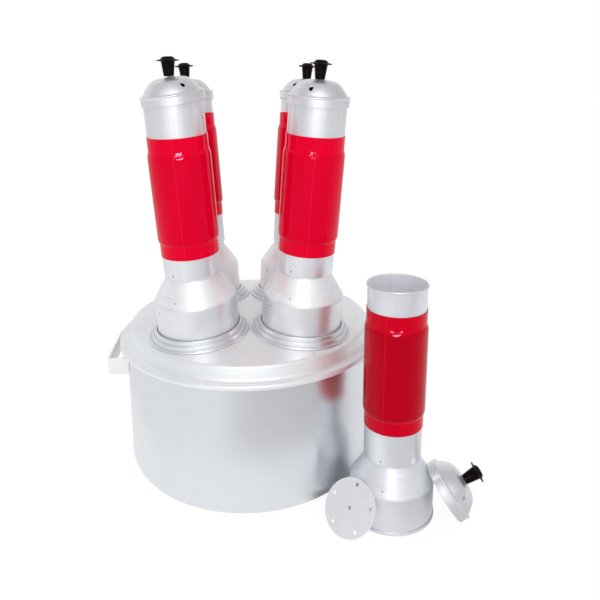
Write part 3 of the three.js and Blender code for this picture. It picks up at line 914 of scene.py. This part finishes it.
def make_lid(metal, seats):
    sheet = LID_SHEET
    wall_top = LID_WALL - LID_DRAFT
    flat = wall_top - LID_SHOULDER
    lip_under = POT_HEIGHT + GAP
    lip_top = lip_under + sheet
    floor = lip_top - LID_GROOVE_DEPTH
    rise = LID_PLUG + LID_GROOVE_WIDTH
    edge = LID_LIP_RADIUS - LID_LIP_WIDTH
    high = lip_top + LID_LIP_RISE
    curl = LID_LIP_RADIUS - LID_CURL
    low = lip_top - 2 * LID_CURL
    dome = [(flat * i / DOME_STEPS, dome_height(flat * i / DOME_STEPS)) for i in range(DOME_STEPS)]
    shoulder = dome_height(wall_top)
    section = rounded(
        *[(radius, height - sheet) for radius, height in dome],
        (wall_top - sheet, shoulder - sheet, LID_SHOULDER - sheet),
        (LID_PLUG - sheet, floor - sheet, 0.6),
        (rise + sheet, floor - sheet, 0.6),
        (rise + sheet, lip_under, 0.4),
        (edge + sheet, lip_under, 0.6),
        (edge + 2 * sheet, high - sheet, 1.0),
        (curl - LID_CURL_SHEET, high - sheet, 1.0),
        (curl - LID_CURL_SHEET, low, 0.8),
        (LID_LIP_RADIUS, low, 1.6),
        (LID_LIP_RADIUS, high, 3.4),
        (edge + sheet, high, 2.6),
        (LID_CHANNEL, lip_top + LID_CHANNEL_RISE, 2.0),
        (LID_WALL, lip_top + LID_WALL_FOOT, 2.0),
        (wall_top, shoulder, LID_SHOULDER),
        *reversed(dome),
    )
    mesh = turned("lid", section, POT_SIDES)
    bars = [(seat, (SPIGOT_OUTER + GAP) * MM, LID_HOLE_BAR * MM) for seat in seats]
    stand_for("pot_lid", pierced(mesh, bars), metal)


def collar_section():
    """Section of a collar, with the bell's seat at height 0: neck, spigot and rings round the bell."""

    def under(radius):
        return -COLLAR_SEAT - radius**2 / (2 * LID_DOME_RADIUS)

    neck_foot = under(SPIGOT_OUTER) - LID_SHEET - 2 * GAP
    crimp = SPIGOT_OUTER + COLLAR_CRIMP
    edge = under(COLLAR_RADIUS) + GAP
    seat_edge = BELL_RADIUS + BELL_BEAD + GAP
    tread = (COLLAR_RADIUS - seat_edge) / COLLAR_RINGS
    riser = (COLLAR_RIM - COLLAR_LIP - edge) / (COLLAR_RINGS - 1)
    rings = [(COLLAR_RADIUS, edge, 0.2)]
    for i in range(COLLAR_RINGS):
        radius = COLLAR_RADIUS - i * tread
        top = edge + COLLAR_LIP + i * riser
        inner = radius - tread
        rings.append((radius - COLLAR_DRAFT, top + COLLAR_CROWN, 1.1))
        rings.append((inner + COLLAR_GROOVE_WIDTH, top + COLLAR_CROWN / 2, 0.6))
        if i < COLLAR_RINGS - 1:
            rings.append((inner + COLLAR_GROOVE_WIDTH / 2, top - COLLAR_GROOVE_DEPTH, 0.3))
    return rounded(
        (SPIGOT_INNER, neck_foot - COLLAR_SHEET),
        (crimp, neck_foot - COLLAR_SHEET),
        (crimp, neck_foot),
        (SPIGOT_OUTER, neck_foot),
        (SPIGOT_OUTER, under(SPIGOT_OUTER) + GAP),
        *rings,
        (seat_edge, COLLAR_RIM - COLLAR_RIM_FALL, 0.4),
        (seat_edge, -GAP),
        (SPIGOT_OUTER, -GAP),
        (SPIGOT_OUTER, COLLAR_SPIGOT, 0.3),
        (SPIGOT_INNER, COLLAR_SPIGOT, 0.3),
    )


def bell_section(bead_width):
    """Section of a bell from its foot at height 0: beaded foot, cylinder, creased cone and neck."""
    inner = BELL_RADIUS - BELL_SHEET
    bead = BELL_RADIUS + bead_width
    cone_top = BELL_CYLINDER + BELL_CONE
    slope = (BELL_RADIUS - NECK_RADIUS) / BELL_CONE
    crease = NECK_RADIUS + slope * BELL_CREASE
    creased = cone_top - BELL_CREASE
    return rounded(
        (inner, 0),
        (BELL_RADIUS, 0, 0.3),
        (bead, BELL_BEAD_EASE, 1.2),
        (bead, BELL_BEAD_HEIGHT - BELL_BEAD_EASE, 1.2),
        (BELL_RADIUS, BELL_BEAD_HEIGHT, 0.3),
        (BELL_RADIUS, BELL_CYLINDER, 1.6),
        (crease + CREASE_PROUD, creased - CREASE_HALF_HEIGHT, 0.3),
        (crease - CREASE_DEPTH, creased + CREASE_HALF_HEIGHT, 0.3),
        (NECK_RADIUS, cone_top, 0.5),
        (NECK_RADIUS, cone_top + BELL_NECK, 0.3),
        (NECK_RADIUS - BELL_SHEET, cone_top + BELL_NECK, 0.3),
        (NECK_RADIUS - BELL_SHEET, cone_top, 0.5),
        (inner, BELL_CYLINDER - BELL_SHEET / 2, 1.6),
    )


def tube_section():
    """Section of a tube: its bottom turned in over the bell's neck, a rolled bead round its mouth."""
    inner = TUBE_RADIUS - TUBE_SHEET
    bead = TUBE_RADIUS + TUBE_BEAD
    turned_in = TUBE_RADIUS - TUBE_CURL
    return rounded(
        (turned_in, TUBE_BOTTOM),
        (TUBE_RADIUS, TUBE_BOTTOM, TUBE_CURL),
        (TUBE_RADIUS, TUBE_TOP - TUBE_BEAD_HEIGHT, 0.4),
        (bead, TUBE_TOP - TUBE_BEAD_HEIGHT, 1.2),
        (bead, TUBE_TOP, 1.2),
        (inner, TUBE_TOP, 1.0),
        (inner, TUBE_BOTTOM + TUBE_SHEET, TUBE_CURL),
        (turned_in, TUBE_BOTTOM + TUBE_SHEET),
    )


def pressed_spot(place, section, head):
    """The flat spot on a sleeve's shoulder, which mirrors the glint lamp to the camera.

    Returns the way it faces, its distance along that way, and its middle.
    """
    high = head - PAD_INSET_TOP
    low = high - 2 * SLEEVE_TAPER
    least = TUBE_RADIUS + SHOULDER_RISE
    shoulder = [point for point in section if low < point.y < high and point.x > least]
    # Skin points within 30 degrees of the front, in half degrees
    turns = [math.radians(-90 + i / 2) for i in range(-60, 61)]
    skin = [
        Vector((radius * math.cos(turn), radius * math.sin(turn), height)) * MM
        for radius, height in shoulder
        for turn in turns
    ]
    middle = Vector((0, -TUBE_RADIUS, high)) * MM
    # The way it faces and its middle depend on each other, and settle in three rounds
    for _ in range(3):
        ways = [(Vector(end) - place @ middle).normalized() for end in (CAMERA_PLACE, GLINT_PLACE)]
        facing = place.to_3x3().inverted() @ (ways[0] + ways[1]).normalized()
        middle = max(skin, key=facing.dot)
    return facing, facing.dot(middle) / MM - PRESSED, middle / MM


def film_marks(name, place, section, head):
    """Depth of a sleeve's film below a true round: its wrinkles and flat spot, less its seam."""
    wrinkles = list(WRINKLES.get(name, ()))
    seam = SPARE_SEAM if name == "spare" else SLEEVE_SEAM
    facing = None
    if wrinkles:
        facing, distance, middle = pressed_spot(place, section, head)
        turn = math.degrees(math.atan2(middle.y, middle.x))
        wrinkles.append((turn, head - middle.z, *PRESSED_FOLD))

    def depth(turn, height, radius):
        total = -SEAM_HEIGHT * math.exp(-((around(turn, seam) / SEAM_WIDTH) ** 2))
        for where, below, wide, tall, deep, slant in wrinkles:
            aside = around(turn, where)
            along = height - head + below - slant * aside
            total += deep * math.exp(-((aside / wide) ** 2) - (along / tall) ** 2)
        across = facing.x * math.cos(turn) + facing.y * math.sin(turn) if facing else 0
        if across > PRESSED_FACING and abs(height - middle.z) < PRESSED_REACH:
            total += max(0, radius - (distance - facing.z * height) / across)
        return total

    return depth


def around(turn, middle):
    """Distance round a sleeve, in millimetres, from a middle in degrees to a turn in radians."""
    away = (turn - math.radians(middle) + math.pi) % (2 * math.pi) - math.pi
    return away * (TUBE_RADIUS + PAD_THICKNESS)


def divided(section, low, high, size):
    """The section with its steps between two heights cut to a size or less."""
    points = []
    for start, end in zip(section, section[1:] + section[:1]):
        points.append(start)
        if low < min(start.y, end.y) and max(start.y, end.y) < high:
            parts = math.ceil((end - start).length / size)
            points.extend(start.lerp(end, i / parts) for i in range(1, parts))
    return points


def pad_section(foot):
    under = TUBE_RADIUS + GAP
    over = under + PAD_THICKNESS
    low = foot + PAD_INSET
    high = foot + SLEEVE_LENGTH - PAD_INSET_TOP
    return rounded((under, low), (over, low + PAD_TAPER, 2), (over, high - PAD_TAPER, 2), (under, high))


def sleeve_section(foot):
    """Section of a sleeve: tight on the tube at both ends, swollen over its pad between shoulders."""
    under = TUBE_RADIUS + GAP
    raised = under + PAD_THICKNESS + GAP
    film = SLEEVE_SHEET
    low = foot + PAD_INSET - GAP
    high = foot + SLEEVE_LENGTH - PAD_INSET_TOP + GAP
    head = foot + SLEEVE_LENGTH
    wrinkled = head - WRINKLED
    return rounded(
        (under, foot),
        (under + film, foot, 0.2),
        (under + film, low + SLEEVE_STEP, 0.8),
        (raised + film, low + PAD_TAPER - SLEEVE_STEP_EASE, 2.2),
        (raised + film, wrinkled),
        (raised + film, high - SLEEVE_TAPER, 5.0),
        (under + film, high, 2.0),
        (under + film, head, 0.2),
        (under, head),
        (under, high + GAP),
        (raised, high - PAD_TAPER, 2),
        (raised, low + PAD_TAPER, 2),
        (under, low - GAP),
    )


def cap_section():
    """Section of a cap from its skirt's lower edge at height 0: skirt, raised line, step and dome."""
    hole = SCREW_RADIUS + GAP
    ridge = SKIRT_OUTER + CAP_RIDGE
    base = CAP_SKIRT + CAP_SHEET

    def dome(sheet):
        wide = CAP_DOME_RADIUS
        tall = CAP_DOME - sheet
        return [(wide * x - sheet * x, base + tall * y, CAP_DOME_BEND) for x, y in CAP_OUTLINE]

    return rounded(
        (SKIRT_INNER, 0),
        (SKIRT_OUTER + CAP_FLARE, 0, 0.4),
        (SKIRT_OUTER, CAP_SKIRT - CAP_RIDGE_FOOT, 0.6),
        (ridge, CAP_SKIRT - CAP_RIDGE_LOW, 0.4),
        (ridge, CAP_SKIRT + CAP_RIDGE_HIGH, 0.4),
        (SKIRT_OUTER - CAP_EASE, base, 0.5),
        (CAP_DOME_RADIUS + CAP_FLARE, base, 0.5),
        *dome(0),
        (hole, CAP_TOP),
        (hole, CAP_TOP - CAP_SHEET),
        *reversed(dome(CAP_SHEET)),
        (CAP_DOME_RADIUS - CAP_SHEET, CAP_SKIRT + GAP, 0.4),
        (SKIRT_INNER, CAP_SKIRT, 0.4),
    )


def knob_section():
    """Section of a knob: tapered stem, thin wide flange and a shallow dome, bored for its screw."""
    foot = CAP_TOP + GAP
    flange = foot + KNOB_STEM_HEIGHT
    rim = flange + KNOB_FLANGE_THICKNESS
    bore = SCREW_RADIUS + GAP
    depth = foot + SCREW_LENGTH - CAP_SHEET
    return rounded(
        (0, depth),
        (bore, depth),
        (bore, foot),
        (KNOB_STEM_RADIUS, foot, 0.5),
        (KNOB_STEM_RADIUS + KNOB_STEM_FLARE, flange, 1.0),
        (KNOB_FLANGE_RADIUS, flange + KNOB_FLANGE_RISE, 0.5),
        (KNOB_FLANGE_RADIUS, rim - KNOB_FLANGE_FALL, 0.5),
        (KNOB_DOME_RADIUS, rim + KNOB_DOME_FOOT, 1.5),
        (KNOB_DOME_RADIUS * KNOB_DOME_CROWN, rim + KNOB_DOME_HEIGHT, 3.2),
        (0, rim + KNOB_DOME_HEIGHT),
    )


def stem_flutes(turn, height, radius):
    """Depth of the flutes moulded down a knob's stem."""
    low = CAP_TOP + GAP + KNOB_FLUTE_START
    high = low + KNOB_STEM_HEIGHT - KNOB_FLUTE_SHORT
    if not low < height < high or radius < KNOB_STEM_RADIUS:
        return 0
    return KNOB_FLUTE_DEPTH * (0.5 - 0.5 * math.cos(KNOB_FLUTES * turn))


def screw_section():
    """Section of a knob's screw, from its dished head inside the cap up to its end in the knob."""
    under = CAP_TOP - CAP_SHEET - GAP
    face = under - SCREW_HEAD_HEIGHT
    return rounded(
        (0, under - SCREW_HEAD_HEIGHT * SCREW_RECESS),
        (SCREW_HEAD_RADIUS * SCREW_RECESS_RADIUS, face, 0.4),
        (SCREW_HEAD_RADIUS * SCREW_CROWN_RADIUS, face, 0.8),
        (SCREW_HEAD_RADIUS, under, 0.4),
        (SCREW_RADIUS, under),
        (SCREW_RADIUS, under + SCREW_LENGTH, 0.4),
        (0, under + SCREW_LENGTH),
    )


def disc_mesh(turn=0):
    """A disc lying flat about height 0, turned by some degrees in its own plane."""
    first = math.radians(DISC_TURN + turn)
    turns = [first + 2 * math.pi * i / DISC_HOLES for i in range(DISC_HOLES)]
    spots = [(DISC_HOLE_CIRCLE * math.cos(angle), DISC_HOLE_CIRCLE * math.sin(angle)) for angle in turns]
    holes = [circle(x, y, DISC_HOLE_RADIUS, DISC_HOLE_SIDES) for x, y in [(0, 0), *spots]]
    return cut_out(circle(0, 0, DISC_RADIUS, TUBE_SIDES), "disc", DISC_THICKNESS, DISC_EDGE, holes)


def make_cap(name, place, finishes):
    """A cap with its vent, and its knob and screw, which lean together where the knob is tilted."""
    mesh = turned("cap", cap_section(), TUBE_SIDES)
    turn = Matrix.Rotation(math.radians(VENT_TURNS[name]), 4, "Z")
    vent = turn @ Matrix.Translation((VENT_CIRCLE * MM, 0, CAP_TOP * MM))
    mesh = pierced(mesh, [(vent, VENT_RADIUS * MM, CAP_DOME * 2 * MM)])
    stand_for(f"cap_{name}", mesh, finishes["cap"], place)
    lean = math.radians(KNOB_TILTS.get(name, 0))
    pivot = Matrix.Translation((0, 0, (CAP_TOP - CAP_SHEET / 2) * MM))
    clamped = place @ pivot @ Matrix.Rotation(lean, 4, "Y") @ pivot.inverted()
    raised = Matrix.Translation((0, 0, KNOB_STEM_RADIUS * math.sin(lean) * MM))
    lowered = Matrix.Translation((0, 0, -SCREW_HEAD_RADIUS * math.sin(lean) * MM))
    knob = turned("knob", knob_section(), 2 * SMALL_SIDES, stem_flutes)
    stand_for(f"knob_{name}", knob, finishes["knob"], clamped @ raised)
    screw = turned("screw", screw_section(), SMALL_SIDES)
    stand_for(f"screw_{name}", screw, finishes["screw"], clamped @ lowered)


def make_tube(name, place, finishes):
    """A tube with its bell, sleeve and pad; a row of tubes can have lighter or darker copies of the finishes, as
    painted light or shade.
    """
    lift = 0 if name.startswith("front") else SLEEVE_SHIFT
    foot = TUBE_BOTTOM + SLEEVE_ABOVE_BELL + lift
    row = name.split("_")[0]
    kinds = ("bell", "tube", "sleeve")
    bell, tube, film = [finishes.get(f"{row}_{kind}", finishes[kind]) for kind in kinds]
    bead = SPARE_BELL_BEAD if name == "spare" else BELL_BEAD
    stand_for(f"bell_{name}", turned("bell", bell_section(bead), TUBE_SIDES), bell, place)
    stand_for(f"tube_{name}", turned("tube", tube_section(), TUBE_SIDES), tube, place)
    head = foot + SLEEVE_LENGTH
    low = head - WRINKLED - FILM_MARGIN
    high = head - PAD_INSET_TOP + FILM_MARGIN
    section = divided(sleeve_section(foot), low, high, FILM_STEP)
    sleeve = turned("sleeve", section, SLEEVE_SIDES, film_marks(name, place, section, head))
    stand_for(f"sleeve_{name}", sleeve, film, place)
    pad_mesh = turned("pad", pad_section(foot), TUBE_SIDES)
    pad = stand_for(f"pad_{name}", pad_mesh, finishes["pad"], place)


def studio_level(x, y):
    """How bright the studio's wall is towards a level direction: brightest behind the camera."""
    front = (x * FRONT_WAY[0] + y * FRONT_WAY[1]).step(0.72, 1.0)
    return WALL_LEVEL + front * FRONT_GAIN


def make_world():
    """A white studio: plain white to the camera, and to the metal as bright as its walls are lit."""
    studio = Finish(bpy.data.worlds.new("studio"))
    bpy.context.scene.world = studio.owner
    x, y, z = studio.split(studio.node("ShaderNodeTexCoord", output="Generated"))
    above = (0.0 - y).step(0.25, 0.55) * z.step(0.3, 0.75) * ABOVE_GAIN
    back = (x * BACK_WAY[0] + y * BACK_WAY[1]).step(0.2, 0.8) * BACK_GAIN
    walls = studio_level(x, y) * (1.0 - z.step(0.08, 0.30) * HIGH_LOSS) + above + back
    seen, mirrored = studio.rays()
    soft = studio.node("ShaderNodeBackground", {"Color": WHITE, "Strength": SOFT_LEVEL})
    lit = studio.node("ShaderNodeBackground", {"Color": walls, "Strength": 1.0})
    white = studio.node("ShaderNodeBackground", {"Color": WHITE, "Strength": 1.0})
    mixed = studio.blend(seen, studio.blend(mirrored, soft, lit), white)
    studio.node("ShaderNodeOutputWorld", {"Surface": mixed})


def make_floor():
    """A pale floor: white to the camera, with its shadow left in, and in the metal partly as a glow with its light
    and shade painted in.
    """
    shape = bmesh.new()
    bmesh.ops.create_circle(shape, cap_ends=True, segments=FLOOR_SIDES, radius=FLOOR_RADIUS)
    mesh = as_mesh(shape, "floor")
    floor = add_object("floor", mesh)
    floor.location.z = -FLOOR_DROP
    pale = new_finish("floor_pale")
    place = pale.place()
    tone = pale.mix(pale.noise(place, 3.0) * 0.1, (0.92, 0.92, 0.92, 1), (0.88, 0.88, 0.88, 1))
    x, y, _ = pale.split(place)
    away = from_axis(x, y, guard=1e-6)
    # Painted shade: the open floor's glow is dimmer towards the front right, and from 1 to 1.8 m off takes on the
    # level of the wall
    painted_dim_shade = ((x * SHADE_WAY[0] + y * SHADE_WAY[1]) / away).step(0.55, 0.95)
    open_floor = OPEN_FLOOR - painted_dim_shade * DIM_PAINTED_SHADE
    level = open_floor + (studio_level(x / away, y / away) - open_floor) * away.step(1.0, 1.8)
    # Painted light: close round the pot the glow is bright, a little less to the right
    beside_pot = BESIDE_POT - x.step(0.0, 0.3) * RIGHT_LOSS
    painted_light_level = level + (beside_pot - level) * away.step(0.34, 0.26)
    # Painted shadow: the glow is darkened in the gap between the pot and the spare bell
    facing_gap = (x * GAP_WAY[0] + y * GAP_WAY[1]) / away
    painted_gap_shadow = away.step(0.205, 0.172) * facing_gap.step(0.92, 0.972)
    painted_light_level = painted_light_level * (1.0 - painted_gap_shadow * GAP_PAINTED_SHADOW)
    seen, mirrored = pale.rays()
    matt = pale.node("ShaderNodeBsdfDiffuse", {"Color": tone})
    white = pale.node("ShaderNodeEmission", {"Color": WHITE, "Strength": FLOOR_WHITE})
    lit = pale.node("ShaderNodeEmission", {"Color": painted_light_level, "Strength": 1.0})
    shown = pale.blend(seen * FLOOR_SHOWN, matt, white)
    # In the gap the metal mirrors more of the glow, and so more of its painted shadow
    mixed = pale.blend(mirrored * (FLOOR_MIRRORED + painted_gap_shadow * GAP_MIRRORED), shown, lit)
    pale.node("ShaderNodeOutputMaterial", {"Surface": mixed})
    mesh.materials.append(pale.owner)


def make_lamp(name, place, aim, wide, tall, power):
    lamp = bpy.data.lights.new(name, "AREA")
    lamp.shape = "ELLIPSE"
    lamp.size = wide
    lamp.size_y = tall
    lamp.energy = power
    holder = add_object(name, lamp)
    holder.location = place
    holder.rotation_euler = (Vector(aim) - Vector(place)).to_track_quat("-Z", "Y").to_euler()


def make_camera():
    lens = bpy.data.cameras.new("camera")
    lens.lens = FOCAL_PIXELS / PICTURE * lens.sensor_width
    lens.shift_y = -HORIZON_SHIFT / PICTURE
    camera = add_object("camera", lens)
    camera.location = CAMERA_PLACE
    camera.rotation_euler = (math.radians(90 - CAMERA_PITCH), 0, math.radians(-CAMERA_YAW))
    bpy.context.scene.camera = camera


make_camera()
make_world()
make_floor()
make_lamp("key", KEY_PLACE, KEY_AIM, KEY_SIZE, KEY_SIZE, KEY_POWER)
make_lamp("glint", GLINT_PLACE, GLINT_AIM, GLINT_WIDTH, GLINT_HEIGHT, GLINT_POWER)
bpy.context.scene.view_settings.view_transform = "Standard"

finishes = {
    "tube": tube_metal("tube_drawn_aluminium", (0.88, 0.90, 0.935, 1), (0.77, 0.79, 0.83, 1)),
    # Painted shade: the spare tube gets a darker copy of the tube's finish
    "spare_tube": tube_metal("tube_aluminium_painted_shade", (0.85, 0.87, 0.915, 1), (0.75, 0.77, 0.815, 1)),
    "collar": collar_metal(),
    "bell": bell_metal("bell_spun_aluminium", (0.88, 0.90, 0.93, 1), (0.79, 0.81, 0.845, 1), 0.76),
    # Painted light: the rear bells get a paler, less metallic copy of the bell's finish, to brighten them where
    # they stand in shade
    "rear_bell": bell_metal("bell_aluminium_painted_light", (0.95, 0.96, 0.98, 1), (0.88, 0.90, 0.93, 1), 0.42),
    # Painted shade: the spare bell gets a darker copy of the bell's finish
    "spare_bell": bell_metal("bell_aluminium_painted_shade", (0.79, 0.81, 0.855, 1), (0.70, 0.72, 0.765, 1), 0.72),
    "cap": cap_metal(),
    "sleeve": sleeve_film("sleeve_red_film", (0.76, 0.0, 0.025, 1), (0.68, 0.0, 0.023, 1), SLEEVE_SEAM),
    # Painted shade: the spare sleeve gets a darker red copy of the film, as it stands lower and further from the
    # lamps
    "spare_sleeve": sleeve_film(
        "sleeve_red_film_painted_shade",
        (0.59, 0.0, 0.014, 1),
        (0.42, 0.0, 0.009, 1),
        SPARE_SEAM,
    ),
    "knob": knob_plastic(),
    "screw": screw_metal(),
    "pad": pad_cork(),
    "lid": lid_metal(),
    "disc": disc_metal(),
    "pot": pot_metal(),
    "strap": strap_metal(),
}
make_pot(finishes["pot"])
make_handles(finishes["strap"])

seats = {}
for name in SEATED:
    axis = joint_axis[f"steam_tube_{name}"]
    seats[name] = upright_on(lower_ring(f"bell_{name}", axis), axis)
make_lid(finishes["lid"], seats.values())

for name, seat in seats.items():
    collar = turned("collar", collar_section(), TUBE_SIDES)
    stand_for(f"collar_{name}", collar, finishes["collar"], seat)
    make_tube(name, seat, finishes)
    axis = joint_axis[f"disc_set_{name}"]
    middle = lower_ring(f"disc_{name}", axis) + axis * DISC_THICKNESS / 2 * MM
    stand_for(f"disc_{name}", disc_mesh(), finishes["disc"], upright_on(middle, axis))
    rim = lower_ring(f"cap_{name}", joint_axis[f"cap_set_{name}"])
    tilt = Matrix.Rotation(math.radians(-CAP_TILTS.get(name, 0)), 4, "Y")
    make_cap(name, upright_on(rim, axis) @ tilt, finishes)

make_tube("spare", upright_on(lower_ring("bell_spare", UP), UP), finishes)
axis = joint_axis["cap_set_spare"]
make_cap("spare", leaning_on(lower_ring("cap_spare", axis), axis), finishes)
axis = joint_axis["disc_set_spare"]
middle = lower_ring("disc_spare", axis) + axis * DISC_THICKNESS / 2 * MM
stand_for("disc_spare", disc_mesh(SPARE_DISC_TURN), finishes["disc"], leaning_on(middle, axis))

bpy.context.view_layer.update()
